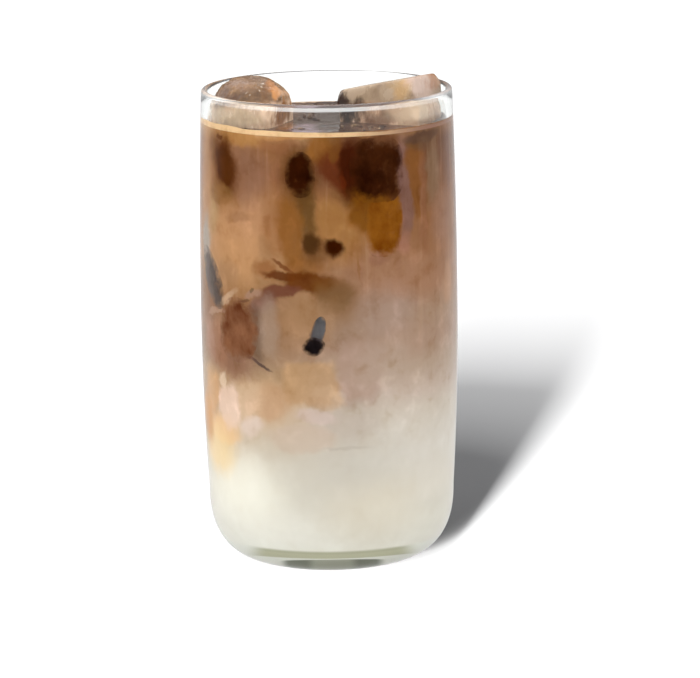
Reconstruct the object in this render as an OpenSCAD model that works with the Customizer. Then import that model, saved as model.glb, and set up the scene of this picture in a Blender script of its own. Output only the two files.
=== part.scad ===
// Iced latte in a tall clear tumbler. Milk lies at the foot, coffee stands on
// it, and two blocks of ice lean on the glass and stand out of the drink.
// The origin is the middle of the foot ring, on the table. +Z is up, and -Y
// is the front.

/* [Glass] */
// Height from the table to the top of the lip
glass_h = 140; // [115:1:175]
// Outer diameter just under the lip
rim_d = 73.6; // [61:0.2:90]
// Outer diameter at the widest place of the side
belly_d = 75.8; // [72:0.2:92]
// Height of the widest place above the table
belly_z = 75; // [45:1:100]
// Outer diameter where the side turns into the rounded heel
heel_d = 72.6; // [61:0.2:88]
// Height of the rounded heel above the table
heel_h = 21; // [15:0.5:30]
// How full the heel is: 2 is an ellipse, and more is squarer
heel_fullness = 2.4; // [1.8:0.1:3.2]
// Outer diameter of the flat ring that the glass stands on
foot_d = 38; // [30:0.5:46]
// Width of that ring
foot_ring_w = 3; // [2:0.25:5]
// Depth of the hollow inside the ring
punt_depth = 1.2; // [0.4:0.1:3]
// Thickness of the side and the lip
wall = 2; // [1.4:0.1:3]
// Thickness of the base at its middle, from the table to the inside floor
base_t = 6; // [4:0.25:9]
// Diameter of the flat part of the inside floor
floor_d = 30; // [20:0.5:38]
// Height of the inside heel above the inside floor
inner_heel_h = 17; // [12:0.5:24]

/* [Drink] */
// From the lip down to the surface of the drink
headspace = 9.7; // [6:0.1:20]
// Depth of the milk above the inside floor
milk_depth = 32; // [15:1:60]
// How far the drink climbs where it wets the glass
meniscus_h = 1.6; // [0.5:0.1:2.5]
// How far from the glass that climb starts
meniscus_w = 2.4; // [1:0.1:4]

/* [Ice] */
// Length of the left block, along its front face
left_ice_l = 20.5; // [16:0.5:25]
// Depth of the left block, front to back
left_ice_w = 21.5; // [16:0.5:26]
// Height of the left block
left_ice_h = 25.5; // [18:0.5:31]
// Ball that its melted corners follow, as a share of its corner-to-corner length
left_ice_melt = 0.7; // [0.6:0.01:0.77]
// How far the top of the left block stands above the drink
left_ice_rise = 13.4; // [6:0.2:17]
// Length of the right block, along its front face
right_ice_l = 25; // [19:0.5:30]
// Depth of the right block, front to back
right_ice_w = 22; // [17:0.5:27]
// Height of the right block
right_ice_h = 24; // [18:0.5:29]
// Ball that its melted corners follow, as a share of its corner-to-corner length
right_ice_melt = 0.9; // [0.86:0.01:0.97]
// How far the top of the right block stands above the drink
right_ice_rise = 11.2; // [6:0.2:15]
// Diameter of the ball that has melted a hollow in its front edge
hollow_d = 10; // [6:0.5:14]
// Depth of that hollow, from the edge
hollow_depth = 1.8; // [0.6:0.1:3]
// How deep a block's corner has melted flat against the glass
ice_seat = 1.5; // [0.8:0.1:2.5]
// Gap between the ice and the glass that it leans on
ice_gap = 0.3; // [0.1:0.1:1]

/* [Hidden] */
$fn = 96;

heel_steps = 18;
side_steps = 22;
lip_steps = 8;
punt_steps = 6;
meniscus_steps = 6;

surface_z = glass_h - headspace;
milk_z = base_t + milk_depth;
inner_heel_z = base_t + inner_heel_h;
rim_r = rim_d / 2;
lip_r = wall / 2;
lip_z = glass_h - lip_r;
inner_rim_r = rim_r - wall;

// Turn of each block about X, Y and Z
left_ice_turn = [4, 3, -20];
right_ice_turn = [-3, -12, -25];
// Direction from the glass's axis to the middle of each block
left_ice_bearing = 188;
right_ice_bearing = 3;
// Height of the melted hollow on the right block, as a share of half its height
hollow_share = 0.3;

// Outer radius of the side at a height, swelling to the belly
function side_r(z) =
    z > belly_z
        ? belly_d / 2 - (belly_d - rim_d) / 2 * pow((z - belly_z) / (lip_z - belly_z), 2)
        : belly_d / 2 - (belly_d - heel_d) / 2 * pow((belly_z - z) / (belly_z - heel_h), 2);

// A heel's curve, from a flat foot out and up to the side. share runs 0 to 1
function heel_point(foot_r, foot_z, top_r, top_z, share) = [
    foot_r + (top_r - foot_r) * pow(sin(90 * share), 2 / heel_fullness),
    foot_z + (top_z - foot_z) * (1 - pow(cos(90 * share), 2 / heel_fullness))
];

outer_heel = [for (i = [0:heel_steps])
    heel_point(foot_d / 2, 0, side_r(heel_h), heel_h, i / heel_steps)];

outer_side = [for (i = [1:side_steps])
    let (z = heel_h + (lip_z - heel_h) * i / side_steps) [side_r(z), z]];

lip = [for (i = [1:lip_steps - 1])
    [rim_r - lip_r + lip_r * cos(180 * i / lip_steps), lip_z + lip_r * sin(180 * i / lip_steps)]];

// The inside, from its floor up to the lip, moved in by a gap
function inside_heel(gap) = [for (i = [0:heel_steps])
    heel_point(floor_d / 2, base_t + gap, side_r(inner_heel_z) - wall - gap, inner_heel_z, i / heel_steps)];

function inside_side(gap) = [for (i = [1:side_steps])
    let (z = inner_heel_z + (lip_z - inner_heel_z) * i / side_steps) [side_r(z) - wall - gap, z]];

function reversed(list) = [for (i = [len(list) - 1:-1:0]) list[i]];

punt = [for (i = [0:punt_steps])
    let (r = (foot_d / 2 - foot_ring_w) * i / punt_steps, share = i / punt_steps)
        [r, punt_depth * (1 - share * share)]];

module glass() {
    color([0.86, 0.92, 0.9, 0.35])
        rotate_extrude()
            polygon(concat(
                punt,
                outer_heel,
                outer_side,
                lip,
                reversed(inside_side(0)),
                reversed(inside_heel(0)),
                [[0, base_t]]
            ));
}

// The space inside the glass and straight up from its lip, kept off by a gap
module inside(gap) {
    top_z = 2 * glass_h;
    rotate_extrude()
        polygon(concat(
            [[0, base_t + gap]],
            inside_heel(gap),
            inside_side(gap),
            [[inner_rim_r - gap, top_z], [0, top_z]]
        ));
}

// The drink's curved edge, which climbs the glass. It is cut from the filling
module surface_hollow() {
    edge_z = surface_z + meniscus_h;
    edge_r = side_r(edge_z) - wall;
    rotate_extrude()
        polygon(concat(
            [[0, surface_z]],
            [for (i = [0:meniscus_steps])
                let (share = i / meniscus_steps)
                    [edge_r - meniscus_w * (1 - share), surface_z + meniscus_h * share * share]],
            [[edge_r + wall, edge_z], [edge_r + wall, glass_h], [0, glass_h]]
        ));
}

// Diameter of the ball that a block's melted corners follow
function melt_d(size, melt) = melt * norm(size);

// How far a block reaches from its middle towards the glass
function block_reach(size, melt, turn, bearing) =
    let (angle = bearing - turn.z)
        min(size.x * abs(cos(angle)) + size.y * abs(sin(angle)), melt_d(size, melt)) / 2;

// A block of ice: flat moulded faces, with corners melted round to a ball
module ice_block(size, melt) {
    intersection() {
        cube(size, center = true);
        sphere(d = melt_d(size, melt));
    }
}

// Puts a block where its corner leans on the glass and its top stands rise
// above the drink, and melts that corner flat
module placed_ice(size, melt, turn, bearing, rise) {
    out = inner_rim_r - ice_gap + ice_seat - block_reach(size, melt, turn, bearing);
    top = min(size.z, melt_d(size, melt)) / 2;
    intersection() {
        translate([out * cos(bearing), out * sin(bearing), surface_z + rise - top])
            rotate(turn)
                children();
        inside(ice_gap);
    }
}

module ice_left() {
    size = [left_ice_l, left_ice_w, left_ice_h];
    color([0.62, 0.45, 0.34])
        placed_ice(size, left_ice_melt, left_ice_turn, left_ice_bearing, left_ice_rise)
            ice_block(size, left_ice_melt);
}

module ice_right() {
    size = [right_ice_l, right_ice_w, right_ice_h];
    edge_angle = atan2(-size.y, size.x);
    edge_out = norm([size.x, size.y]) / 2 - hollow_depth + hollow_d / 2;
    color([0.72, 0.6, 0.47])
        placed_ice(size, right_ice_melt, right_ice_turn, right_ice_bearing, right_ice_rise)
            difference() {
                ice_block(size, right_ice_melt);
                rotate([0, 0, edge_angle])
                    translate([edge_out, 0, hollow_share * size.z / 2])
                        sphere(d = hollow_d);
            }
}

module milk_layer() {
    color([0.88, 0.86, 0.8])
        intersection() {
            inside(0);
            cylinder(r = belly_d, h = milk_z);
        }
}

module coffee_layer() {
    color([0.62, 0.45, 0.33])
        difference() {
            intersection() {
                inside(0);
                translate([0, 0, milk_z])
                    cylinder(r = belly_d, h = surface_z + meniscus_h - milk_z);
            }
            surface_hollow();
            ice_left();
            ice_right();
        }
}

glass();
milk_layer();
coffee_layer();
ice_left();
ice_right();
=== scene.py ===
import math
import random
import bmesh
import bpy
from mathutils import Matrix, Vector, noise


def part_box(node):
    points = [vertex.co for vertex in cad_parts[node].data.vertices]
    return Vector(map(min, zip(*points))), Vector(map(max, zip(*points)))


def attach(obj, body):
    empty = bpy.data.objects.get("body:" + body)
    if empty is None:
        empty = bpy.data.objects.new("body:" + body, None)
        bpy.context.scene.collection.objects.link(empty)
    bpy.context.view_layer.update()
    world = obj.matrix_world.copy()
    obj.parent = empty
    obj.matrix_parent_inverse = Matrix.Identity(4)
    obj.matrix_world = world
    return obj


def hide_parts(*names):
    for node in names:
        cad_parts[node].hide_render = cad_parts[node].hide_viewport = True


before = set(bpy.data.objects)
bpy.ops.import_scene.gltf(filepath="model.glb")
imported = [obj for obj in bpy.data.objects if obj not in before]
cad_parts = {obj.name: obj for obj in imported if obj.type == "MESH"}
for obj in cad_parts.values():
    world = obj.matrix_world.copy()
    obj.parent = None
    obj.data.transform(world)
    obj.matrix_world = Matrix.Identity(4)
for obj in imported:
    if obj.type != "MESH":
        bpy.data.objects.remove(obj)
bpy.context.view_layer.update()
mm = 0.001
scene = bpy.context.scene

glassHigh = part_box("glass")[1]
milkLow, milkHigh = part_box("milk_layer")
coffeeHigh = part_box("coffee_layer")[1]
print("frame loaded, glass", round(glassHigh.z / mm), "mm tall")

# The glass and the drink are turned shapes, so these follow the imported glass
tumbler = {
    "wall": 2.0 * mm,
    "rimDrop": 1.1 * mm,      # how much narrower the rim is than the belly
    "heelDrop": 1.6 * mm,     # and the top of the heel
    "bellyHeight": 75 * mm,
    "heelHeight": 21 * mm,
    "heelFullness": 2.4,
    "footRadius": 19 * mm,
    "footRing": 3 * mm,
    "puntDepth": 1.2 * mm,
    "floorRadius": 15 * mm,
    "innerHeelHeight": 17 * mm,
    "slices": 160,
}
lipRadius = tumbler["wall"] / 2
lipHeight = glassHigh.z - lipRadius
bellyRadius = glassHigh.x
insideFloor = milkLow.z
surfaceRise = 1.6 * mm                      # how far the drink climbs the wall
surfaceHeight = coffeeHigh.z - surfaceRise


def sideRadius(z):
    middle = tumbler["bellyHeight"]
    if z > middle:
        return bellyRadius - tumbler["rimDrop"] * ((z - middle) / (lipHeight - middle)) ** 2
    return bellyRadius - tumbler["heelDrop"] * ((middle - z) / (middle - tumbler["heelHeight"])) ** 2


def heelCurve(footRadius, footHeight, topRadius, topHeight, steps):
    points = []
    for i in range(steps + 1):
        angle = math.pi / 2 * i / steps
        out = math.sin(angle) ** (2 / tumbler["heelFullness"])
        up = 1 - abs(math.cos(angle)) ** (2 / tumbler["heelFullness"])
        radius = footRadius + (topRadius - footRadius) * out
        points.append((radius, footHeight + (topHeight - footHeight) * up))
    return points


def innerWall(lowest, highest, bite=0.0, steps=40):
    # The inside of the wall between two heights, moved into the glass by bite
    top = insideFloor + tumbler["innerHeelHeight"]
    heel = heelCurve(tumbler["floorRadius"], insideFloor, sideRadius(top) - tumbler["wall"], top, 26)
    side = []
    for i in range(1, steps + 1):
        z = top + (lipHeight - top) * i / steps
        side.append((sideRadius(z) - tumbler["wall"], z))
    line = [(r + bite, z) for r, z in heel + side]
    kept = [p for p in line if lowest + 0.2 * mm < p[1] < highest - 0.2 * mm]
    return [radiusAt(line, lowest)] + kept + [radiusAt(line, highest)]


def radiusAt(line, z):
    if z <= line[0][1]:
        return (line[0][0], z)
    for (r0, z0), (r1, z1) in zip(line, line[1:]):
        if z0 <= z <= z1 and z1 > z0:
            return (r0 + (r1 - r0) * (z - z0) / (z1 - z0), z)
    return (line[-1][0], z)


def link(name, bm, material=None, sharpAngle=40):
    bmesh.ops.recalc_face_normals(bm, faces=bm.faces[:])
    for face in bm.faces:
        face.smooth = True
    for edge in bm.edges:
        if len(edge.link_faces) == 2 and edge.calc_face_angle(0) > math.radians(sharpAngle):
            edge.smooth = False
    mesh = bpy.data.meshes.new(name)
    bm.to_mesh(mesh)
    bm.free()
    piece = bpy.data.objects.new(name, mesh)
    scene.collection.objects.link(piece)
    if material:
        mesh.materials.append(material)
    return piece


def turned(points, slices=None):
    # Spins a line of (radius, height) points round the glass's axis
    bm = bmesh.new()
    line = [bm.verts.new((r, 0, z)) for r, z in points]
    edges = [bm.edges.new(pair) for pair in zip(line, line[1:])]
    bmesh.ops.spin(bm, geom=line + edges, cent=(0, 0, 0), axis=(0, 0, 1), dvec=(0, 0, 0),
                   angle=2 * math.pi, steps=slices or tumbler["slices"],
                   use_merge=True, use_duplicate=False)
    bmesh.ops.remove_doubles(bm, verts=bm.verts[:], dist=1e-6)
    return bm


def colour(code):
    # A hex colour as the linear values that nodes take
    parts = [int(code[i:i + 2], 16) / 255 for i in (0, 2, 4)]
    return tuple(((c + 0.055) / 1.055) ** 2.4 if c > 0.04045 else c / 12.92 for c in parts) + (1.0,)


def addNode(tree, kind, inputs=None, **settings):
    node = tree.nodes.new(kind)
    for name, value in settings.items():
        setattr(node, name, value)
    for key, value in (inputs or {}).items():
        if isinstance(value, bpy.types.NodeSocket):
            tree.links.new(value, node.inputs[key])
        else:
            node.inputs[key].default_value = value
    return node


def calc(tree, operation, a, b=0.0, c=0.0, clamp=False):
    return addNode(tree, "ShaderNodeMath", {0: a, 1: b, 2: c},
                   operation=operation, use_clamp=clamp).outputs[0]


def vectorCalc(tree, operation, a, b=(0, 0, 0)):
    return addNode(tree, "ShaderNodeVectorMath", {0: a, 1: b}, operation=operation).outputs[0]


def lengthOf(tree, vector):
    return addNode(tree, "ShaderNodeVectorMath", {0: vector}, operation="LENGTH").outputs["Value"]


def remap(tree, value, low, high, toLow=0.0, toHigh=1.0, smooth=True):
    return addNode(tree, "ShaderNodeMapRange", {0: value, 1: low, 2: high, 3: toLow, 4: toHigh},
                   interpolation_type="SMOOTHSTEP" if smooth else "LINEAR").outputs[0]


def blendColour(tree, share, a, b, mode="MIX"):
    return addNode(tree, "ShaderNodeMix", {0: share, 6: a, 7: b},
                   data_type="RGBA", blend_type=mode).outputs[2]


def noiseAt(tree, place, scale, detail=3.0, roughness=0.5, stretch=(1, 1, 1), offset=(0, 0, 0)):
    moved = addNode(tree, "ShaderNodeMapping",
                    {"Vector": place, "Location": offset, "Scale": stretch}).outputs[0]
    return addNode(tree, "ShaderNodeTexNoise", {"Vector": moved, "Scale": scale, "Detail": detail,
                                                "Roughness": roughness})


def colourRamp(tree, value, stops):
    node = addNode(tree, "ShaderNodeValToRGB", {0: value})
    elements = node.color_ramp.elements
    elements.remove(elements[1])
    for i, (place, code) in enumerate(sorted(stops)):
        element = elements.new(place) if i else elements[0]
        element.position = place
        element.color = colour(code)
    return node.outputs[0]


def newMaterial(name):
    material = bpy.data.materials.new(name)
    material.use_nodes = True
    tree = material.node_tree
    return material, tree, tree.nodes["Principled BSDF"]


def objectPlace(tree):
    return addNode(tree, "ShaderNodeTexCoord").outputs["Object"]


# Colours of the drink: milk at the foot, coffee clouding into it. The left ramp is lighter, partly from its
# own colours and partly as painted light from the left. Both ramps are painted brighter at the foot in place
# of light from below
drinkColours = {
    # height in mm above the table, and the colour there
    "right": [(6, "f4f0e6"), (12, "e6e1d6"), (20, "d8d2c7"), (25, "d9d2c7"), (36, "d5cec5"),
              (44, "cfc6bb"), (50, "cabeb1"), (56, "c1afa2"), (62, "b39e8c"), (69, "aa8e7b"), (77, "a68a74"),
              (86, "a07a60"), (95, "986e50"), (107, "8e6240"), (118, "7a5036"),
              (127, "6c4730"), (132, "8c6446")],
    "left": [(6, "fbf9f0"), (12, "f0ece2"), (20, "e4dfd4"), (25, "e4dfd3"), (33, "ddd4c6"),
             (40, "ccbca8"), (45, "c7b199"), (51, "c1a68b"), (57, "b89b7b"), (62, "a3866a"), (68, "9c7b5f"),
             (77, "946d50"), (83, "8f6746"), (92, "ad8358"), (101, "a67850"), (110, "9a6c44"),
             (118, "905f3e"), (126, "8b5f3c"), (132, "c8a073")],
    "bigCurl": 5.0,       # how far the clouds curl, in mm
    "smallCurl": 3.4,
    "ragged": 0.45,       # how torn the stains' edges are
    "underside": 8.4,     # below this height the milk faces the base
}
rampTop = 140.0           # height that the colour ramps run up to, in mm
wrapRadius = 36.0         # the wall's radius where places round it are measured, in mm

# Each stain: degrees round from the front, height, half width, half height (mm), lean (degrees),
# softness, strength, colour, shape
stains = {
    # broad clouds first
    "leftTan": (-48, 98, 15, 12, 0, 1.2, 0.75, "c1946a", "round"),
    "milkMiddle": (-6, 31, 25, 13, 0, 1.3, 0.6, "bfb8ac", "round"),
    "tanShade": (-29, 88, 4.4, 9, 0, 1.1, 0.42, "8f6b4b", "round"),
    "tanShadeLeft": (-54, 89.5, 5, 4, 0, 1.1, 0.5, "9a7657", "round"),
    "stepShade": (7.5, 55, 3.8, 3.4, 0, 1.0, 0.6, "ac9786", "round"),
    "lowTanLeft": (-53, 60.5, 5, 3.4, 0, 1.0, 0.5, "a07a60", "round"),
    "leftFaceBrown": (-66, 120, 4.5, 10, 0, 1.0, 0.55, "8f6838", "round"),
    "middleShade": (-6, 80, 11, 6, 0, 1.2, 0.45, "8c6a4c", "round"),
    "centreLow": (6, 50, 10, 9, 0, 1.2, 0.4, "a9998b", "round"),
    "purpleShade": (-25, 81, 4, 4.4, 0, 1.0, 0.55, "80604a", "round"),
    "beigeUnderHook": (-24, 58, 6, 5, 0, 1.1, 0.4, "b0916f", "round"),
    "hookShade": (-29, 82.5, 4.2, 3.6, 0, 1.0, 0.6, "80583c", "round"),
    "hookShadeRight": (-19.5, 82, 4.2, 3.2, 0, 1.0, 0.55, "825f47", "round"),
    "middleRight": (8, 82, 4.6, 6, 0, 1.1, 0.5, "8f6c50", "round"),
    "mauveMiddle": (12.5, 72, 7, 5, 0, 1.1, 0.5, "987e6c", "round"),
    "leftLowTan": (-55, 55, 5, 6, 0, 1.1, 0.4, "ac8a6c", "round"),
    "pinkDim": (-54, 43.5, 6, 7, 0, 1.2, 0.4, "cdbdac", "round"),
    "underSmudge": (-11, 95.5, 4, 2.6, 0, 1.1, 0.4, "8c6238", "round"),
    "leftPeach": (-38, 108, 8, 8, 0, 1.2, 0.5, "b58866", "round"),
    "leftMauve": (-41, 119, 8, 8.5, 12, 1.0, 0.75, "8a644f", "round"),
    "leftOlive": (-64, 106, 3, 6, 0, 1.0, 0.6, "b29468", "round"),
    "leftEdge": (-72, 114, 4.5, 16, 0, 1.0, 0.6, "b8895c", "round"),
    "rimOrange": (-46, 129.3, 12, 2.4, 0, 0.9, 0.75, "aa7842", "round"),
    "rimBrown": (-23, 128.5, 6, 3, 0, 1.0, 0.7, "88583a", "round"),
    "middleTan": (5, 104, 8, 9, 24, 1.0, 0.7, "a3733f", "round"),
    "middleLow": (-12, 80, 9, 9, 0, 1.1, 0.6, "ab845f", "round"),
    "rightMauve": (28, 79, 9, 7, 0, 1.0, 0.6, "a58d80", "round"),
    "rightTan": (42, 88, 12, 6, 0, 1.1, 0.45, "a67d62", "round"),
    "rightGrey": (57, 118, 3.4, 9, 0, 1.0, 0.6, "897059", "round"),
    "rightPink": (62, 104, 5, 8, 0, 1.0, 0.5, "a07a66", "round"),
    "rightWarmEdge": (69, 84, 3, 6, 0, 1.0, 0.6, "bd9474", "round"),
    "leftLowWhite": (-46, 25, 13, 10, 0, 1.3, 0.7, "efebdf", "round"),
    "warmFoot": (20, 19, 14, 9, 0, 1.3, 0.5, "dad0be", "round"),
    "stepMauve": (13, 62.5, 6.4, 8.6, 0, 0.6, 0.75, "ab8f7f", "box"),
    "stepMauveRight": (25, 63.5, 8, 6.6, 0, 0.9, 0.5, "b39e8e", "box"),
    "stepTan": (-9.5, 58.6, 8.4, 6.6, 0, 0.35, 0.75, "b7926b", "box"),
    "stepTanLow": (-2, 53.5, 4.6, 3.6, 0, 0.5, 0.7, "c0a081", "round"),
    "leftTanLow": (-30, 52.8, 6, 5.6, 8, 0.8, 0.7, "c09a78", "round"),
    "peachLow": (-41, 53, 5, 6, 0, 0.9, 0.6, "d3b598", "round"),
    "greyCloud": (7, 46.5, 9, 4.2, -4, 0.9, 0.6, "bfb2a6", "round"),
    "brownCloud": (-14, 42.6, 9.5, 4.0, -3, 0.5, 0.7, "c5b1a0", "round"),
    "lavender": (-7, 48.6, 6, 1.9, -10, 0.7, 0.7, "cdb9b1", "round"),
    "lavenderLeft": (-39, 45, 4.2, 2.8, 20, 0.8, 0.7, "dccac0", "round"),
    "cloudLine": (6, 39.6, 7, 0.5, 2, 0.8, 0.5, "b5aa9e", "round"),
    # painted light: a warm glow at the lower left, where the light falls into the drink from the left
    "paintedGlowHigh": (-68, 52, 4.6, 7, 0, 0.8, 0.65, "d3a474", "round"),
    "paintedGlowMiddle": (-60, 42.5, 8, 3.8, 4, 0.8, 0.8, "e7c092", "round"),
    "paintedGlowLow": (-67, 36, 9, 7, 0, 1.0, 0.75, "edd2a2", "round"),
    "paintedGlowEdge": (-77, 44, 5.0, 7, 0, 0.9, 0.95, "cf9a60", "round"),
    "pinkWhite": (-53.5, 49.8, 4.4, 5.6, 8, 0.5, 0.8, "e5cab8", "box"),
    "pinkWhiteTip": (-58, 56.4, 2.0, 2.0, 0, 0.6, 0.7, "e2cab0", "round"),
    # what shows of the coffee running down
    "leftShadeSoft": (-56, 119.6, 6.6, 9.8, 14, 1.0, 0.75, "7a4a24", "round"),
    "leftShade": (-54.5, 120.0, 5.0, 7.6, 16, 0.8, 0.93, "4a2408", "round"),
    "leftShadeTip": (-59, 128, 1.3, 0.9, 0, 0.7, 0.8, "5a3212", "round"),
    "leftBar": (-58, 112, 6, 2.6, -6, 0.9, 0.6, "8c6439", "round"),
    "pocketTan": (-45, 106, 5, 1.6, 4, 0.9, 0.5, "93694a", "round"),
    "roundHalo": (-12.8, 119.6, 5.6, 8.6, 2, 0.9, 0.85, "573617", "round"),
    "stem": (-8.8, 108, 2.7, 8.6, 4, 0.9, 0.85, "604320", "round"),
    "amberLeftSoft": (-25, 104, 4, 8, 0, 1.0, 0.6, "9a6a44", "round"),
    "amberLeft": (-17, 103, 3.9, 10.5, 4, 0.8, 0.78, "85531f", "round"),
    "amberTail": (-11, 93.5, 6, 3, 0, 0.9, 0.7, "855427", "round"),
    "smudgeSoft": (-5, 97.6, 4.4, 3.0, 0, 0.9, 0.6, "6a4222", "round"),
    "smudgeLeft": (-7.4, 99.6, 2.3, 3.0, 12, 0.8, 0.9, "452a10", "round"),
    "smudgeRight": (2.2, 98.4, 2.7, 2.3, -14, 0.8, 1.0, "321101", "round"),
    "fleck": (-30, 97.5, 2.2, 4, 0, 0.9, 0.4, "8f6a48", "round"),
    "swirlHook": (-30, 92.6, 3.8, 2.4, 0, 0.8, 0.75, "8f5d36", "round"),
    "swirlHair": (-21.5, 93.8, 3.4, 0.6, -26, 0.8, 0.85, "704023", "round"),
    "swirlHairLow": (-20, 91.0, 7.0, 1.2, -3, 0.7, 0.9, "5f3115", "round"),
    "swirl": (-9.5, 89.0, 7.6, 3.3, -5, 0.6, 0.95, "653510", "round"),
    "swirlEnd": (0, 87, 5.4, 3.6, -18, 0.9, 0.8, "74481f", "round"),
    "swirlShade": (3, 84.4, 5.0, 4.6, 0, 1.0, 0.75, "7a5a3b", "round"),
    "purpleWedge": (-23.5, 86.0, 6.6, 2.2, 6, 0.6, 0.9, "6e4131", "round"),
    "purpleTail": (-33, 81.6, 4.6, 3.2, 38, 0.8, 0.8, "805e52", "round"),
    "mauveArch": (-38, 84.8, 3.2, 1.1, 22, 0.7, 0.6, "a58573", "round"),
    "archLine": (-38.6, 85.6, 0.5, 0.9, 0, 0.6, 0.7, "66523a", "round"),
    "archLineLow": (-43, 82.4, 2.0, 0.5, 12, 0.7, 0.8, "6b4c38", "round"),
    "paleArch": (-54, 82.6, 5.0, 1.1, 36, 0.8, 0.7, "c5a586", "round"),
    "paleArchLow": (-62, 77.3, 5, 0.9, 14, 0.8, 0.6, "c19f88", "round"),
    "arcShade": (-35.5, 71.5, 3.0, 8.6, 6, 0.8, 0.72, "705a4c", "round"),
    "arcPale": (-29, 74, 3.0, 9, 6, 0.9, 0.7, "a28a77", "round"),
    "thinLine": (-34.5, 63.6, 4.0, 0.6, -26, 0.7, 0.9, "584641", "round"),
    "lowBrown": (-50, 64, 8.0, 6.2, -20, 0.8, 0.78, "8a6450", "round"),
    "lowBrownLeft": (-62, 67, 5.6, 7, 0, 0.8, 0.7, "a17459", "round"),
    "lowPink": (-70, 68, 3.4, 7, 0, 0.9, 0.6, "b38a75", "round"),
    "greyBeside": (-72, 98, 3.2, 7, 0, 0.9, 0.8, "a29c94", "round"),
    "orangeLeft": (-4, 127.2, 3.6, 4.0, 0, 0.8, 0.85, "8a5826", "round"),
    "redWedge": (7.0, 120.0, 6.4, 7.4, 20, 0.7, 0.9, "5e2a12", "wedge"),
    "blockTop": (21, 129.2, 9, 1.9, 0, 0.9, 0.8, "623c24", "round"),
    "rimGold": (-4, 130.6, 17, 0.9, 0, 0.9, 0.6, "b98550", "round"),
    "darkJoin": (12, 120.8, 3.6, 7.2, 0, 0.6, 0.9, "3a1405", "box"),
    "redGlint": (7.5, 117.5, 0.9, 3.0, 0, 0.9, 0.5, "6d2c10", "round"),
    "orangeTop": (3.4, 127.6, 3.2, 4.0, 0, 0.8, 0.6, "74481c", "wedge"),
    "underBlock": (20.5, 113.4, 9.5, 2.9, 0, 0.8, 0.92, "502a0c", "round"),
    "amberWide": (18.4, 109.0, 5.8, 5.8, -20, 0.6, 0.92, "7c4b13", "box"),
    "mauveBand": (37.8, 114.5, 2.2, 15, 0, 0.8, 0.8, "7f5d54", "box"),
    "mauveFoot": (37, 98.5, 2.6, 2.8, 0, 0.9, 0.7, "a2725c", "round"),
    "drip": (44.4, 116.6, 3.2, 9.4, 0, 0.5, 0.88, "83532a", "wedge"),
    "dripTip": (45.8, 112, 0.9, 2.2, 0, 0.8, 0.5, "704420", "round"),
    "dripBrown": (49, 110, 1.6, 14, 0, 0.8, 0.7, "8b5e43", "box"),
    "dripTop": (44, 127.4, 3, 1.6, 0, 0.8, 0.7, "6e4c2c", "round"),
    "rimShade": (50, 129.2, 7.4, 1.9, 3, 0.7, 0.92, "5b4335", "round"),
    "rimShadeLow": (50, 127, 3, 2.2, 0, 0.9, 0.6, "6f5340", "round"),
    "underAmber": (24, 94.4, 3.2, 1.8, 0, 0.9, 0.55, "8e6450", "round"),
    "hair": (13.4, 92, 0.5, 3.4, 0, 0.9, 0.45, "84562f", "round"),
    "chipPale": (-6.8, 72.4, 1.7, 2.6, 0, 0.8, 0.9, "46444a", "round"),
    # the side that the front hides
    "backShade": (112, 116, 7, 9, -10, 0.9, 0.9, "56301a", "round"),
    "backShadeSoft": (-108, 108, 6, 10, 14, 0.9, 0.8, "774827", "round"),
    "backAmber": (134, 99, 5, 12, 8, 0.7, 0.85, "80501f", "wedge"),
    "backSwirl": (-134, 92, 12, 2.6, 12, 0.6, 0.9, "6a3a16", "round"),
    "backPurple": (-146, 87, 8, 1.8, -8, 0.6, 0.8, "724636", "round"),
    "backHalo": (160, 118, 6.4, 8, 0, 0.9, 0.8, "5c3a1c", "round"),
    "backRound": (160, 118, 3.8, 5.2, 0, 0.5, 0.95, "2c1004", "round"),
    "backMauve": (104, 80, 8, 9, 0, 0.9, 0.7, "94786a", "round"),
    "backTan": (-150, 68, 9, 7, 0, 0.4, 0.7, "b28d68", "box"),
    "backTongue": (-160, 113, 4.5, 11, -6, 0.5, 0.9, "68390f", "wedge"),
    "backRed": (-176, 121, 5, 6, 16, 0.5, 0.95, "4d1a06", "wedge"),
    "backPeach": (128, 58, 9, 6, -12, 0.8, 0.7, "cfa884", "round"),
    "backCloud": (170, 47, 12, 4.5, 6, 0.8, 0.6, "c4b1a2", "round"),
    "backDrip": (84, 112, 2.4, 12, 0, 0.8, 0.7, "87593a", "box"),
    "backDripLeft": (-88, 118, 2.6, 9, 0, 0.8, 0.7, "7a4e30", "wedge"),
}


def alongAxis(tree, place, centre, axis, size):
    # How far a place lies from the centre along an axis, in sizes
    offset = -(centre[0] * axis[0] + centre[1] * axis[1]) / size
    first = calc(tree, "MULTIPLY_ADD", place[1], axis[1] / size, offset)
    return calc(tree, "MULTIPLY_ADD", place[0], axis[0] / size, first)


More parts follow.
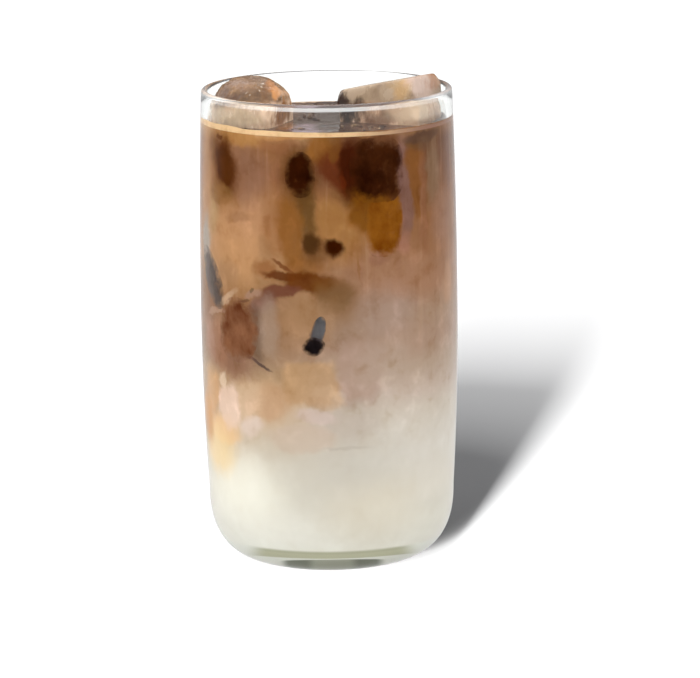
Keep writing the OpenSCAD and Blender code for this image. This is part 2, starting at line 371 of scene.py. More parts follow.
def makeLatteColour():
    group = bpy.data.node_groups.new("latteColour", "ShaderNodeTree")
    group.interface.new_socket("Color", in_out="OUTPUT", socket_type="NodeSocketColor")
    out = group.nodes.new("NodeGroupOutput")
    place = objectPlace(group)
    inMm = vectorCalc(group, "MULTIPLY", place, (1000, 1000, 1000))
    parts = addNode(group, "ShaderNodeSeparateXYZ", {0: inMm}).outputs
    turn = calc(group, "ARCTAN2", parts[0], calc(group, "MULTIPLY", parts[1], -1.0))
    across = calc(group, "MULTIPLY", turn, wrapRadius)
    flat = addNode(group, "ShaderNodeCombineXYZ", {0: across, 1: parts[2], 2: 0.0}).outputs[0]
    centre = (-0.5, -0.5, -0.5)
    big = vectorCalc(group, "ADD", noiseAt(group, inMm, 0.055, 2.0, 0.5).outputs["Color"], centre)
    small = noiseAt(group, inMm, 0.21, 4.0, 0.6, offset=(40, 11, 7)).outputs["Color"]
    small = vectorCalc(group, "ADD", small, centre)
    curl = vectorCalc(group, "ADD",
                      vectorCalc(group, "MULTIPLY", big, (drinkColours["bigCurl"],) * 3),
                      vectorCalc(group, "MULTIPLY", small, (drinkColours["smallCurl"],) * 3))
    # only the two ways along the wall
    curl = vectorCalc(group, "MULTIPLY", curl, (1, 1, 0))
    curled = vectorCalc(group, "ADD", flat, curl)
    height = addNode(group, "ShaderNodeSeparateXYZ", {0: curled}).outputs[1]
    share = calc(group, "DIVIDE", height, rampTop)
    right = colourRamp(group, share, [(z / rampTop, code) for z, code in drinkColours["right"]])
    left = colourRamp(group, share, [(z / rampTop, code) for z, code in drinkColours["left"]])
    # the left side gets the lighter ramp: partly its own colours, partly painted light from the left
    base = blendColour(group, remap(group, parts[0], 8.0, -16.0), right, left)
    # long streaks that run down, strongest in the coffee
    streak = noiseAt(group, inMm, 0.45, 3.0, 0.55, stretch=(1, 1, 0.07)).outputs["Fac"]
    inCoffee = remap(group, parts[2], 50.0, 95.0, 0.0, 0.2)
    for edge, code in ((0.72, "7a5340"), (0.3, "c29a7c")):
        cover = calc(group, "MULTIPLY", remap(group, streak, 0.5, edge), inCoffee)
        base = blendColour(group, cover, base, colour(code))
    place = addNode(group, "ShaderNodeSeparateXYZ", {0: curled}).outputs
    ragged = noiseAt(group, inMm, 0.33, 4.0, 0.62, stretch=(1, 1, 0.8), offset=(5, 90, 3)).outputs["Fac"]
    ragged = calc(group, "MULTIPLY_ADD", ragged, drinkColours["ragged"], -0.5 * drinkColours["ragged"])
    for degrees, z, wide, tall, lean, soft, strength, code, shape in stains.values():
        centre = (math.radians(degrees) * wrapRadius, z)
        tilt = math.radians(lean)
        x = alongAxis(group, place, centre, (math.cos(tilt), math.sin(tilt)), wide)
        y = alongAxis(group, place, centre, (-math.sin(tilt), math.cos(tilt)), tall)
        if shape == "wedge":
            # narrows towards its foot
            x = calc(group, "DIVIDE", x, remap(group, y, -1.2, 0.8, 0.3, 1.1, smooth=False))
        x = calc(group, "MULTIPLY", x, x)
        y = calc(group, "MULTIPLY", y, y)
        if shape != "round":
            x = calc(group, "MULTIPLY", x, x)
            y = calc(group, "MULTIPLY", y, y)
        reach = calc(group, "POWER", calc(group, "ADD", x, y), 0.5 if shape == "round" else 0.25)
        reach = calc(group, "ADD", reach, ragged)
        cover = remap(group, reach, 1 + soft / 2, max(0.0, 1 - soft / 2), 0.0, strength)
        base = blendColour(group, cover, base, colour(code))
    # milky clouds over all of it, faint in the milk
    cloud = noiseAt(group, curled, 0.16, 6.0, 0.6, stretch=(1, 0.8, 1), offset=(70, 20, 0)).outputs["Fac"]
    depth = remap(group, parts[2], 30.0, 60.0, 0.15, 1.0)
    lift = calc(group, "MULTIPLY", remap(group, cloud, 0.5, 0.72), depth)
    base = blendColour(group, lift, base, (1.2, 1.22, 1.27, 1), "MULTIPLY")
    sink = calc(group, "MULTIPLY", remap(group, cloud, 0.5, 0.28), depth)
    base = blendColour(group, sink, base, (0.84, 0.78, 0.7, 1), "MULTIPLY")
    # the milk's underside is seen through the thick base: an olive band for the glass's tint, pale at the
    # sides as a painted highlight of the clear glass, and grey low in the middle as a painted reflection of
    # the shaded floor under the foot
    under = remap(group, parts[2], drinkColours["underside"] + 0.5, drinkColours["underside"] - 0.5)
    outwards = calc(group, "ABSOLUTE", parts[0])
    pale = colour("f2f1e8")
    reach = lengthOf(group, vectorCalc(group, "MULTIPLY", inMm, (1, 1, 0)))
    olive = blendColour(group, remap(group, reach, 25.0, 27.0), colour("c6c4aa"), colour("b4b298"))
    through = blendColour(group, remap(group, outwards, 17.0, 23.0), olive, pale)
    through = blendColour(group, remap(group, reach, 23.0, 22.4), through, pale)
    pointed = calc(group, "MULTIPLY_ADD", calc(group, "MULTIPLY", outwards, outwards), 0.008, reach)
    footShadeMask = calc(group, "MULTIPLY", remap(group, pointed, 22.3, 21.7), remap(group, outwards, 14.0, 11.0))
    footShadeGrey = blendColour(group, remap(group, outwards, 4.0, 7.0), colour("b3b3a4"), colour("8f9184"))
    through = blendColour(group, footShadeMask, through, footShadeGrey)
    base = blendColour(group, under, base, through)
    group.links.new(base, out.inputs[0])
    return group


latteColour = makeLatteColour()
print("drink colours ready,", len(stains), "stains")


def drinkMaterial(name, roughness):
    material, tree, shader = newMaterial(name)
    group = addNode(tree, "ShaderNodeGroup")
    group.node_tree = latteColour
    tree.links.new(group.outputs[0], shader.inputs["Base Color"])
    shader.inputs["Roughness"].default_value = roughness
    shader.inputs["Specular IOR Level"].default_value = 0.0
    return material


glassLook = {"tint": "fcfefc", "ior": 1.46, "density": 3.0, "thickTint": "dde3d2",
             "edgeLow": 2.0 * mm, "edgeHigh": 0.9 * mm, "edgeGlow": (0.3, 0.12), "endGlow": 0.25}


def makeGlassMaterial():
    material, tree, shader = newMaterial("clearGlass")
    shader.inputs["Base Color"].default_value = colour(glassLook["tint"])
    shader.inputs["Transmission Weight"].default_value = 1.0
    shader.inputs["IOR"].default_value = glassLook["ior"]
    place = objectPlace(tree)
    # faint smears, so that the polish isn't perfect
    smear = noiseAt(tree, place, 60.0, 4.0, 0.6, stretch=(1, 1, 0.4)).outputs["Fac"]
    tree.links.new(remap(tree, smear, 0.55, 0.8, 0.0, 0.035), shader.inputs["Roughness"])
    # a painted highlight: light caught in the front of the lip, fading to the sides and gone at the back
    parts = addNode(tree, "ShaderNodeSeparateXYZ", {0: place}).outputs
    radius = lengthOf(tree, vectorCalc(tree, "MULTIPLY", place, (1, 1, 0)))
    rim = sideRadius(lipHeight) - lipRadius
    low, high = glassHigh.z - glassLook["edgeLow"], glassHigh.z - glassLook["edgeHigh"]
    band = calc(tree, "MULTIPLY", remap(tree, parts[2], low - 0.2 * mm, low + 0.2 * mm),
                remap(tree, parts[2], high + 0.2 * mm, high - 0.1 * mm))
    band = calc(tree, "MULTIPLY", band, remap(tree, radius, rim, rim + 0.3 * mm))
    outwards = calc(tree, "ABSOLUTE", parts[0])
    middle, side = glassLook["edgeGlow"]
    band = calc(tree, "MULTIPLY", band, remap(tree, outwards, 5 * mm, 30 * mm, middle, side))
    ends = calc(tree, "MULTIPLY", remap(tree, outwards, 23 * mm, 33 * mm, 0.0, glassLook["endGlow"]),
                remap(tree, parts[2], high - 0.3 * mm, high))
    glow = calc(tree, "MULTIPLY", calc(tree, "MAXIMUM", band, ends), remap(tree, parts[1], 15 * mm, -10 * mm))
    tree.links.new(calc(tree, "SUBTRACT", 1.0, glow), shader.inputs["Transmission Weight"])
    absorb = addNode(tree, "ShaderNodeVolumeAbsorption",
                     {"Color": colour(glassLook["thickTint"]), "Density": glassLook["density"]})
    tree.links.new(absorb.outputs[0], tree.nodes["Material Output"].inputs["Volume"])
    return material


def makeGlass():
    top = tumbler["heelHeight"]
    punt = []
    for i in range(9):
        share = i / 8
        radius = (tumbler["footRadius"] - tumbler["footRing"]) * share
        punt.append((radius, tumbler["puntDepth"] * (1 - share ** 2)))
    outer = heelCurve(tumbler["footRadius"], 0, sideRadius(top), top, 30)
    for i in range(1, 41):
        z = top + (lipHeight - top) * i / 40
        outer.append((sideRadius(z), z))
    rim = sideRadius(lipHeight) - lipRadius
    lip = [(rim + lipRadius * math.cos(math.pi * i / 14), lipHeight + lipRadius * math.sin(math.pi * i / 14))
           for i in range(1, 14)]
    inner = innerWall(insideFloor, lipHeight)[::-1]
    points = punt + outer + lip + inner + [(0, insideFloor)]
    return link("glassTumbler", turned(points), makeGlassMaterial(), sharpAngle=50)


glassPiece = makeGlass()
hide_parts("glass")
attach(glassPiece, "root")
print("glass turned")

# The drink reaches a hair into the glass, so that no gap shows between them
drink = {"bite": 0.15 * mm, "climbWidth": 2.4 * mm, "ripple": 0.12 * mm, "backShare": 0.25}


def makeMilk():
    wall = innerWall(insideFloor, milkHigh.z, drink["bite"])
    points = [(0, insideFloor - drink["bite"])]
    points += [(wall[0][0] * share, insideFloor - drink["bite"]) for share in (0.33, 0.66)]
    points += [(wall[0][0], insideFloor - drink["bite"])] + wall[1:]
    points += [(wall[-1][0] * share, milkHigh.z) for share in (0.66, 0.33)] + [(0, milkHigh.z)]
    return link("milkFill", turned(points), drinkMaterial("milk", 0.35), sharpAngle=50)


# Patches on the drink's surface, some of them painted sheen and reflections: middle x, y, reach in x, y (mm),
# colour, strength
surface = {
    "base": ("20120b", "38241a", "4c362a", "66503e"),
    # the pale mauve patch in front is a painted sheen, and the dark patches just in front of the right ice
    # are its painted reflection
    "patchesAndReflections": [(-5.5, -16, 5.5, 9, "75656a", 0.8), (-3, 3, 5, 8, "2c1a16", 0.7),
                (1.2, -4, 4.0, 18, "241008", 0.95),
                (-12.5, -10, 3.2, 9, "6e4420", 0.8), (14, -14, 8, 7, "44281a", 0.7),
                (24, -12, 6, 8, "5a3826", 0.6), (0, 26, 18, 6, "2c1810", 0.8),
                (-20, -22, 9, 7, "4a2e1e", 0.6)],
}


def makeCoffeeTopMaterial():
    material, tree, shader = newMaterial("coffeeTop")
    place = vectorCalc(tree, "MULTIPLY", objectPlace(tree), (1000, 1000, 1000))
    cloud = noiseAt(tree, place, 0.09, 5.0, 0.6).outputs["Fac"]
    base = colourRamp(tree, cloud, list(zip((0.34, 0.5, 0.64, 0.75), surface["base"])))
    for x, y, wide, deep, code, strength in surface["patchesAndReflections"]:
        away = vectorCalc(tree, "SUBTRACT", place, (x, y, 0))
        away = vectorCalc(tree, "MULTIPLY", away, (1 / wide, 1 / deep, 0))
        reach = calc(tree, "MULTIPLY_ADD", calc(tree, "SUBTRACT", cloud, 0.5), 2.0, lengthOf(tree, away))
        base = blendColour(tree, remap(tree, reach, 1.3, 0.7, 0.0, strength), base, colour(code))
    tree.links.new(base, shader.inputs["Base Color"])
    shader.inputs["Roughness"].default_value = 0.06
    shader.inputs["IOR"].default_value = 1.13
    return material


def frontShare(place):
    # 1 at the front, falling to a low share at the back
    front = 0.5 - 0.5 * place.y / max(1e-6, place.xy.length)
    return drink["backShare"] + (1 - drink["backShare"]) * min(1, 1.6 * front)


def makeCoffee():
    wall = innerWall(milkHigh.z, coffeeHigh.z, drink["bite"])
    edge = wall[-1][0]
    points = [(0, milkHigh.z)] + [(wall[0][0] * share, milkHigh.z) for share in (0.33, 0.66)] + wall
    climb = [(edge - drink["bite"] - drink["climbWidth"] * i / 8,
              surfaceHeight + surfaceRise * (1 - i / 8) ** 2)
             for i in range(1, 9)]
    level = climb[-1][0]
    points += climb + [(level * (1 - i / 30), surfaceHeight) for i in range(1, 31)]
    bm = turned(points)
    top = []
    for face in bm.faces:
        middle = face.calc_center_median()
        if middle.z > surfaceHeight - 0.1 * mm and middle.xy.length < edge - 0.2 * mm:
            face.material_index = 1
            top.append(face)
    for vert in bm.verts:
        # it wets the glass less at the back
        if vert.co.z > surfaceHeight + 1e-6:
            vert.co.z = surfaceHeight + (vert.co.z - surfaceHeight) * frontShare(vert.co)
    for vert in {v for face in top for v in face.verts}:
        if vert.co.xy.length < level - 1 * mm:
            vert.co.z += drink["ripple"] * noise.noise(vert.co * 160)
    piece = link("coffeeFill", bm, drinkMaterial("coffee", 0.35), sharpAngle=50)
    piece.data.materials.append(makeCoffeeTopMaterial())
    return piece


milkPiece = makeMilk()
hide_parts("milk_layer")
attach(milkPiece, "root")
coffeePiece = makeCoffee()
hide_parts("coffee_layer")
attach(coffeePiece, "root")
print("drink poured")

# The foam line lies on the drink's edge
foam = {"low": 0.3 * mm, "tall": 1.3 * mm, "thick": 0.8 * mm}


def makeFoamMaterial():
    material, tree, shader = newMaterial("foam")
    place = objectPlace(tree)
    parts = addNode(tree, "ShaderNodeSeparateXYZ", {0: place}).outputs
    side = remap(tree, parts[0], 0.0, 0.03)
    base = blendColour(tree, side, colour("e3bd8b"), colour("8c6450"))
    base = blendColour(tree, remap(tree, parts[1], -0.01, 0.02), base, colour("94795a"))
    grain = noiseAt(tree, place, 320.0, 4.0, 0.6).outputs["Fac"]
    base = blendColour(tree, remap(tree, grain, 0.45, 0.75, 0.0, 0.5), base, colour("b07c4a"))
    tree.links.new(base, shader.inputs["Base Color"])
    cells = addNode(tree, "ShaderNodeTexVoronoi", {"Vector": place, "Scale": 1500.0})
    bump = addNode(tree, "ShaderNodeBump",
                   {"Height": cells.outputs["Distance"], "Strength": 0.4, "Distance": 0.2 * mm})
    tree.links.new(bump.outputs[0], shader.inputs["Normal"])
    shader.inputs["Roughness"].default_value = 0.4
    return material


def makeFoam():
    base = surfaceHeight + foam["low"]
    outer = innerWall(base, base + foam["tall"], drink["bite"] + 0.05 * mm)[0][0]
    # how far in and how far up its inner side lies, as shares of its thickness and height
    side = ((1.5, 0.05), (1.4, 0.2), (0.95, 0.5), (0.6, 0.8), (0.25, 0.97), (0, 1))
    points = [(outer, base)]
    points += [(outer - foam["thick"] * inward, base + foam["tall"] * up) for inward, up in side]
    bm = turned(points + points[:1], 320)
    for vert in bm.verts:
        turn = math.atan2(vert.co.x, -vert.co.y)
        around = Vector((math.sin(turn) * 3, math.cos(turn) * 3, 0))
        tall = 1 + 0.24 * noise.noise(around * 1.3) + 0.05 * noise.noise(around * 9) - 0.3 * math.sin(turn)
        vert.co.z = surfaceHeight + (foam["low"] + (vert.co.z - base) * tall) * frontShare(vert.co)
        lump = 1 + 0.12 * noise.noise(around * 8 + Vector((0, 0, vert.co.z * 400)))
        radius = vert.co.xy.length
        inward = outer - radius
        if inward > 1e-6:
            vert.co.x *= (outer - inward * lump) / radius
            vert.co.y *= (outer - inward * lump) / radius
    return link("foamLine", bm, makeFoamMaterial(), sharpAngle=60)


foamPiece = makeFoam()
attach(foamPiece, "root")
print("foam line laid")

# Ice that stands out of the drink
iceLook = {
    "left": {"voxel": 0.55 * mm, "smooth": 14, "groove": 0.35 * mm, "lump": 0.5 * mm},
    "right": {"voxel": 0.55 * mm, "smooth": 5, "groove": 0.04 * mm, "lump": 0.3 * mm},
}


def copyOfNode(node, name, look):
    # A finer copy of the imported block, melted a little and never outside it
    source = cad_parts[node]
    bm = bmesh.new()
    bm.from_mesh(source.data)
    bmesh.ops.remove_doubles(bm, verts=bm.verts[:], dist=1e-6)
    mesh = bpy.data.meshes.new(name + "Base")
    bm.to_mesh(mesh)
    bm.free()
    piece = bpy.data.objects.new(name, mesh)
    scene.collection.objects.link(piece)
    remesh = piece.modifiers.new("fine", "REMESH")
    remesh.mode = "VOXEL"
    remesh.voxel_size = look["voxel"]
    remesh.use_smooth_shade = True
    bpy.context.view_layer.update()
    fine = bpy.data.meshes.new_from_object(piece.evaluated_get(bpy.context.evaluated_depsgraph_get()))
    piece.modifiers.clear()
    piece.data = fine
    bm = bmesh.new()
    bm.from_mesh(fine)
    for i in range(look["smooth"]):
        bmesh.ops.smooth_vert(bm, verts=bm.verts[:], factor=0.5,
                              use_axis_x=True, use_axis_y=True, use_axis_z=True)
    bm.normal_update()
    for vert in bm.verts:
        place = vert.co / mm
        lump = 0.5 + 0.5 * noise.noise(place * 0.16)
        groove = abs(noise.noise(Vector((place.x * 0.9, place.y * 0.9, place.z * 0.12))))
        depth = look["lump"] * lump + look["groove"] * (1 - min(1, groove * 3))
        vert.co -= vert.normal * depth
    for face in bm.faces:
        face.smooth = True
    bm.to_mesh(fine)
    bm.free()
    return piece


# Spots of colour on the ice: middle x, y, z, reach in x, y, z (mm), colour, strength
iceSpots = {
    "left": {
        "base": ("48321f", "5c4229", "745637"), "low": ("a8876b", "c2a286", "d3baa3"), "throughGlassBelow": 137.3,
        "frost": 0.75,
        # the first two spots, amber, are a painted highlight on the right of the block
        "spots": [(-16.4, -12, 141.8, 1.5, 9, 1.7, "8f5a24", 0.8),
                  (-14.6, -12, 139.6, 1.2, 9, 1.6, "a9713a", 0.8),
                  (-17.8, -12, 140.2, 1.1, 9, 2.4, "5a3a1c", 0.7),
                  (-10.6, -6, 140.2, 2.6, 12, 3.6, "a67f5c", 0.9),
                  (-25, -12, 142.4, 5, 9, 1.5, "7a5d48", 0.5), (-30, -10, 138.6, 4, 9, 2.4, "4a2f1e", 0.6),
                  (-12.4, -9, 133.4, 3.0, 9, 3.2, "7a4c26", 0.9),
                  (-26, -14, 133.2, 7, 9, 2.2, "c9b294", 0.7)],
    },
    "right": {
        "base": ("7a6550", "88735c", "96826c"), "low": ("846048", "9c7a60", "b5967c"), "throughGlassBelow": 136.2,
        "frost": 0.06,
        # the first spot and the near-black one lower down are painted shade on the block's shaded left end
        "spots": [(2.6, -4, 138.5, 2.4, 14, 5.5, "3f3027", 0.95),
                  (21.5, -12, 140.4, 3.6, 9, 3.2, "a38257", 0.8),
                  (28.5, -10, 141.5, 5.0, 14, 5.0, "9d8677", 0.95),
                  (32.0, -6, 142.6, 2.2, 14, 3.4, "7c5230", 0.9),
                  (26, -13, 133.0, 7.5, 9, 3.6, "bba084", 0.95),
                  (4.6, -9, 133.6, 5.6, 16, 6.0, "2a1a12", 1.0),
                  (14, -13, 131.4, 6, 9, 2.0, "573b29", 0.6), (27, -13, 130.6, 4, 9, 1.4, "7c4e34", 0.4)],
    },
}


def makeIceMaterial(name, look):
    material, tree, shader = newMaterial(name)
    place = vectorCalc(tree, "MULTIPLY", objectPlace(tree), (1000, 1000, 1000))
    height = addNode(tree, "ShaderNodeSeparateXYZ", {0: place}).outputs[2]
    lump = noiseAt(tree, place, 0.22, 5.0, 0.6, stretch=(1, 1, 0.7)).outputs["Fac"]
    wobble = calc(tree, "MULTIPLY_ADD", lump, 5.0, -2.5)
    upper = colourRamp(tree, lump, list(zip((0.36, 0.5, 0.66), look["base"])))
    lower = colourRamp(tree, lump, list(zip((0.36, 0.5, 0.66), look["low"])))
    # partly painted light: below a height just under the rim the block takes its lower colours, lighter as
    # seen through the glass
    change = remap(tree, calc(tree, "ADD", height, wobble), look["throughGlassBelow"] - 1, look["throughGlassBelow"] + 1)
    base = blendColour(tree, change, lower, upper)
    for x, y, z, wide, deep, tall, code, strength in look["spots"]:
        away = vectorCalc(tree, "MULTIPLY", vectorCalc(tree, "SUBTRACT", place, (x, y, z)),
                          (1 / wide, 1 / deep, 1 / tall))
        reach = calc(tree, "MULTIPLY_ADD", calc(tree, "SUBTRACT", lump, 0.5), 3.0, lengthOf(tree, away))
        base = blendColour(tree, remap(tree, reach, 1.4, 0.6, 0.0, strength), base, colour(code))
    grain = noiseAt(tree, place, 1.1, 3.0, 0.6).outputs["Fac"]
    frost = noiseAt(tree, place, 0.2, 2.0, 0.5, offset=(30, 10, 0)).outputs["Fac"]
    frost = remap(tree, frost, 0.5, 0.6, 0.0, look["frost"])
    frosty = calc(tree, "MULTIPLY", remap(tree, grain, 0.6, 0.68), frost)
    base = blendColour(tree, frosty, base, colour("d8c8b4"))
    tree.links.new(base, shader.inputs["Base Color"])
    shader.inputs["Transmission Weight"].default_value = 0.12
    shader.inputs["IOR"].default_value = 1.31
    tree.links.new(remap(tree, lump, 0.3, 0.7, 0.1, 0.32), shader.inputs["Roughness"])
    bump = addNode(tree, "ShaderNodeBump", {"Height": lump, "Strength": 0.5, "Distance": 0.6 * mm})
    tree.links.new(bump.outputs[0], shader.inputs["Normal"])
    return material


leftIce = copyOfNode("ice_left", "iceLeft", iceLook["left"])
leftIce.data.materials.clear()
leftIce.data.materials.append(makeIceMaterial("iceBrown", iceSpots["left"]))
rightIce = copyOfNode("ice_right", "iceRight", iceLook["right"])
rightIce.data.materials.clear()
rightIce.data.materials.append(makeIceMaterial("iceTan", iceSpots["right"]))
for piece, node in ((leftIce, "ice_left"), (rightIce, "ice_right")):
    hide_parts(node)
    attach(piece, "root")
print("standing ice melted")

# Ice sunk in the drink, pressed to the wall:
# degrees round, height, half width, half height (mm), lean, squareness, how blurred its edge is, dark, light
sunkIce = {
    "sunkIceGrey": (-66.4, 86.8, 4.2, 9.0, 34, 2.0, 1.0, "463933", "6c5f58"),
    "sunkIceBrown": (-46.5, 73, 7.0, 8.4, -14, 2.4, 0.9, "5c3019", "8c5e42"),
    "sunkIceRound": (-12.8, 119.8, 3.9, 5.8, 2, 2.2, 0.8, "1c0601", "341404"),
    "sunkIceAmber": (26.4, 104.8, 5.2, 8.3, -2, 3.4, 0.5, "6c3604", "90591a"),
    "sunkIceDark": (23.2, 120.5, 7.4, 8.2, 0, 4.0, 0.6, "240a02", "42200c"),
    "sunkIceSliver": (-5.0, 74.6, 1.7, 3.7, -14, 2.0, 1.0, "343236", "5e5c5e"),
    "sunkIceChip": (-7.4, 69.9, 3.0, 2.5, 16, 1.7, 0.9, "0c0707", "231c1e"),
    "sunkIceBackA": (150, 84, 8.5, 10, 12, 3.0, 0.7, "6b4a36", "a08068"),
    "sunkIceBackB": (-118, 76, 7.0, 8.6, -16, 2.4, 1.2, "5e4534", "8a6c54"),
    "sunkIceBackC": (96, 96, 6.0, 8.5, 8, 2.6, 0.7, "55300f", "8a5a2c"),
}


def makeSunkIceMaterial(name, dark, light):
    material, tree, shader = newMaterial(name)
    group = addNode(tree, "ShaderNodeGroup")
    group.node_tree = latteColour
    place = objectPlace(tree)
    cloud = noiseAt(tree, place, 170.0, 5.0, 0.6, stretch=(1, 1, 0.75)).outputs["Fac"]
    own = colourRamp(tree, cloud, [(0.32, dark), (0.68, light)])
    cover = addNode(tree, "ShaderNodeAttribute", attribute_name="cover").outputs["Fac"]
    torn = noiseAt(tree, place, 260.0, 4.0, 0.6).outputs["Fac"]
    ragged = calc(tree, "MULTIPLY", calc(tree, "SUBTRACT", torn, 0.5), 1.6)
    share = remap(tree, calc(tree, "ADD", cover, ragged), 0.1, 0.9)
    share = calc(tree, "MULTIPLY", share, remap(tree, cover, 0.0, 0.2))
    tree.links.new(blendColour(tree, share, group.outputs[0], own), shader.inputs["Base Color"])
    shader.inputs["Roughness"].default_value = 0.35
    shader.inputs["Specular IOR Level"].default_value = 0.0
    return material


def makeSunkIce(name, order, degrees, height, wide, tall, lean, square, blur, dark, light):
    bm = bmesh.new()
    bmesh.ops.create_icosphere(bm, subdivisions=5, radius=1.0)
    layer = bm.verts.layers.float.new("cover")
    skin = drink["bite"] + (0.05 + 0.012 * order) * mm
    for vert in bm.verts:
        n = vert.co.copy()
        a, b = n.x * 1.3, n.z * 1.3
        reach = (abs(a) ** square + abs(b) ** square) ** (1 / square)
        ragged = 0.12 * noise.noise(Vector((a * 2.2, b * 2.2, degrees)))
        vert[layer] = max(0.0, min(1.0, (1 + blur / 2 - reach + ragged) / blur))
        depth = max(0.0, reach - 1.15) * 12 * mm
        if n.y > 0:
            depth += n.y * 6 * mm
        tilt = math.radians(lean)
        across = (a * wide * math.cos(tilt) - b * tall * math.sin(tilt)) * mm
        up = (a * wide * math.sin(tilt) + b * tall * math.cos(tilt)) * mm
        z = height * mm + up
        radius = sideRadius(z) - tumbler["wall"] + skin - depth
        turn = math.radians(degrees) + across / (wrapRadius * mm)
        vert.co = Vector((radius * math.sin(turn), -radius * math.cos(turn), z))
    return link(name, bm, makeSunkIceMaterial(name, dark, light), sharpAngle=180)


for order, (name, spec) in enumerate(sunkIce.items()):
    piece = makeSunkIce(name, order, *spec)
    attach(piece, "root")
print("sunk ice:", len(sunkIce), "pieces")

# Bubbles on the drink, in clusters of (middle x, middle y, spread, count), in mm
bubbles = {"seed": 7, "smallest": 0.35 * mm, "largest": 0.95 * mm,
           "clusters": ((14.5, -17, 4.5, 12), (-3, 3, 5, 9), (6, -12, 3, 5), (-9, -18, 3, 4), (-3, 27, 6, 8))}


def makeBubbles():
    rng = random.Random(bubbles["seed"])
    bm = bmesh.new()
    flattened = Matrix.Diagonal((1, 1, 0.7, 1))
    for x, y, spread, count in bubbles["clusters"]:
        for i in range(count):
            radius = rng.uniform(bubbles["smallest"], bubbles["largest"])
            place = Matrix.Translation(((x + rng.gauss(0, spread / 2)) * mm,
                                        (y + rng.gauss(0, spread / 2)) * mm, surfaceHeight))
            bmesh.ops.create_icosphere(bm, subdivisions=2, radius=radius, matrix=place @ flattened)
    material, tree, shader = newMaterial("bubble")
    tone = noiseAt(tree, objectPlace(tree), 400.0, 2.0, 0.5).outputs["Fac"]
    base = colourRamp(tree, tone, [(0.38, "3a2219"), (0.5, "5e4030"), (0.66, "a88a68")])
    tree.links.new(base, shader.inputs["Base Color"])
    shader.inputs["Roughness"].default_value = 0.05
    shader.inputs["Transmission Weight"].default_value = 0.6
    shader.inputs["IOR"].default_value = 1.2
    return link("surfaceBubbles", bm, material, sharpAngle=180)


bubblePiece = makeBubbles()
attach(bubblePiece, "root")
print("bubbles scattered")

# Floor, light and camera
# floorLamps: from how high to how high each lamp shines, in degrees, and its share of the light
studio = {"floorSize": 30.0, "floorTone": 0.068, "left": 3.2, "right": 2.7, "dimBehind": 0.87,
          "floorPower": 240000, "heading": 12.2, "lampDistance": 40.0, "lampWidth": 4.0,
          "floorLamps": ((11, 18, 0.07), (18, 33, 0.67), (33, 52, 0.26))}


def makeFloor():
    bm = bmesh.new()
    bmesh.ops.create_grid(bm, x_segments=4, y_segments=4, size=studio["floorSize"] / 2,
                          matrix=Matrix.Translation((0, 0, -0.1 * mm)))
    material, tree, shader = newMaterial("paleFloor")
    grain = noiseAt(tree, objectPlace(tree), 3.0, 3.0, 0.5).outputs["Fac"]
    tone = studio["floorTone"]
    paper = blendColour(tree, grain, (tone, tone, tone, 1), (tone * 1.03, tone * 1.03, tone * 1.03, 1))
    tree.links.new(paper, shader.inputs["Base Color"])
    shader.inputs["Roughness"].default_value = 0.9
    shader.inputs["Specular IOR Level"].default_value = 0.0
    floor = link("floor", bm, material)
    floor.visible_glossy = False
    return floor


floor = makeFloor()


def makeWorld():
    world = bpy.data.worlds.new("studio")
    world.use_nodes = True
    tree = world.node_tree
    background = tree.nodes["Background"]
    way = addNode(tree, "ShaderNodeTexCoord").outputs["Generated"]
    parts = addNode(tree, "ShaderNodeSeparateXYZ", {0: way}).outputs
    # brighter on the left, and dim low down behind, so that the drink's surface stays dark
    bright = remap(tree, parts[0], 0.7, -0.9, studio["right"], studio["left"])
    dim = calc(tree, "MULTIPLY", remap(tree, parts[1], 0.55, 0.88), remap(tree, parts[2], 0.75, 0.3))
    kept = calc(tree, "SUBTRACT", 1.0, calc(tree, "MULTIPLY", dim, studio["dimBehind"]))
    above = calc(tree, "MULTIPLY", bright, kept)
    # below the horizon only reflections see it: dark in front, pale behind
    below = remap(tree, parts[1], 0.2, 0.9, 0.0, 0.7)
    strength = addNode(tree, "ShaderNodeMix", {0: remap(tree, parts[2], -0.03, 0.03), 2: below, 3: above})
    tree.links.new(strength.outputs[0], background.inputs[1])
    tone = blendColour(tree, remap(tree, parts[2], 0.0, 0.8), (1, 1, 1, 1), (0.96, 0.97, 1, 1))
    warm = calc(tree, "MULTIPLY", dim, remap(tree, parts[2], 0.0, 0.06))
    tone = blendColour(tree, warm, tone, (1, 0.8, 0.7, 1))
    tree.links.new(tone, background.inputs[0])
    scene.world = world


makeWorld()


def aimed(position, target):
    return (Vector(target) - Vector(position)).to_track_quat("-Z", "Y").to_euler()


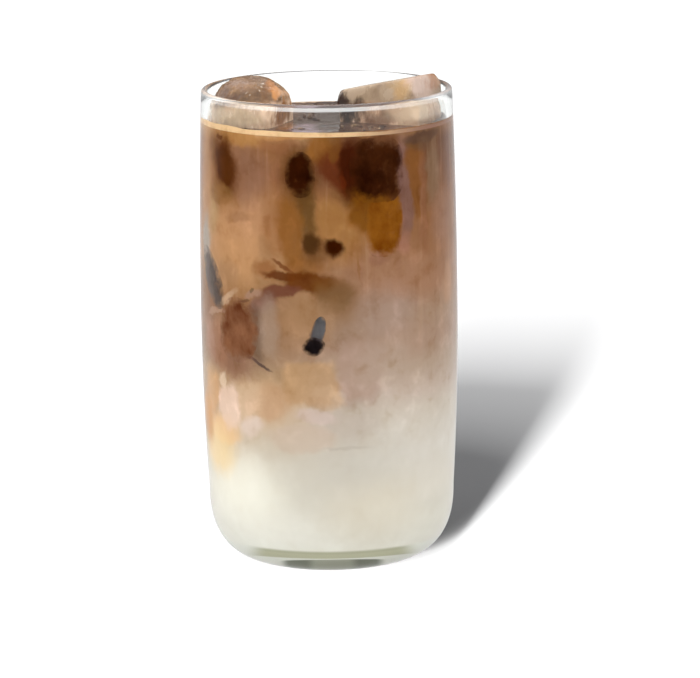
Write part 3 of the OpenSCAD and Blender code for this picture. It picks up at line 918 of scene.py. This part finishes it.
def makeFloorLights():
    # These light the floor only, so that the shadow falls behind and fades with distance
    receivers = bpy.data.collections.new("floorOnly")
    receivers.objects.link(floor)
    # clear glass hardly shades the floor, so only what is in it does
    blockers = bpy.data.collections.new("shading")
    for piece in (milkPiece, coffeePiece, leftIce, rightIce):
        blockers.objects.link(piece)
    heading = math.radians(studio["heading"])
    distance = studio["lampDistance"]
    for low, high, share in studio["floorLamps"]:
        middle = math.radians((low + high) / 2)
        position = (-math.sin(heading) * math.cos(middle) * distance,
                    -math.cos(heading) * math.cos(middle) * distance, math.sin(middle) * distance)
        lamp = bpy.data.lights.new("floorKey", "AREA")
        lamp.shape = "RECTANGLE"
        lamp.size = distance * math.tan(math.radians(studio["lampWidth"]))
        lamp.size_y = distance * math.tan(math.radians(high - low))
        lamp.energy = studio["floorPower"] * share / math.sin(middle)
        item = bpy.data.objects.new("floorKey", lamp)
        item.location = position
        item.rotation_euler = aimed(position, (0, 0, 0))
        scene.collection.objects.link(item)
        item.light_linking.receiver_collection = receivers
        item.light_linking.blocker_collection = blockers


makeFloorLights()

view = {"distance": 1.3, "lookDown": 11.187, "roll": 0.747, "lens": 226.1,
        "across": 6.05 * mm, "below": 5.11 * mm}


def makeCamera():
    down = math.radians(view["lookDown"])
    roll = math.radians(view["roll"])
    middle = Vector((0, 0, glassHigh.z / 2))
    forward = Vector((0, math.cos(down), -math.sin(down)))
    up = Vector((0, math.sin(down), math.cos(down)))
    right = Vector((1, 0, 0))
    position = middle - forward * view["distance"]
    turnedRight = right * math.cos(roll) - up * math.sin(roll)
    turnedUp = right * math.sin(roll) + up * math.cos(roll)
    target = middle + turnedRight * view["across"] - turnedUp * view["below"]
    back = (position - target).normalized()
    turnedRight = turnedUp.cross(back).normalized()
    turnedUp = back.cross(turnedRight)
    camera = bpy.data.objects.new("camera", bpy.data.cameras.new("camera"))
    camera.data.lens = view["lens"]
    camera.data.sensor_width = 36
    camera.data.clip_start = 0.05
    camera.data.clip_end = 100
    axes = Matrix((turnedRight, turnedUp, back)).transposed()
    camera.matrix_world = Matrix.Translation(position) @ axes.to_4x4()
    scene.collection.objects.link(camera)
    scene.camera = camera


makeCamera()
scene.view_settings.view_transform = "Standard"
scene.view_settings.look = "None"
print("studio set")
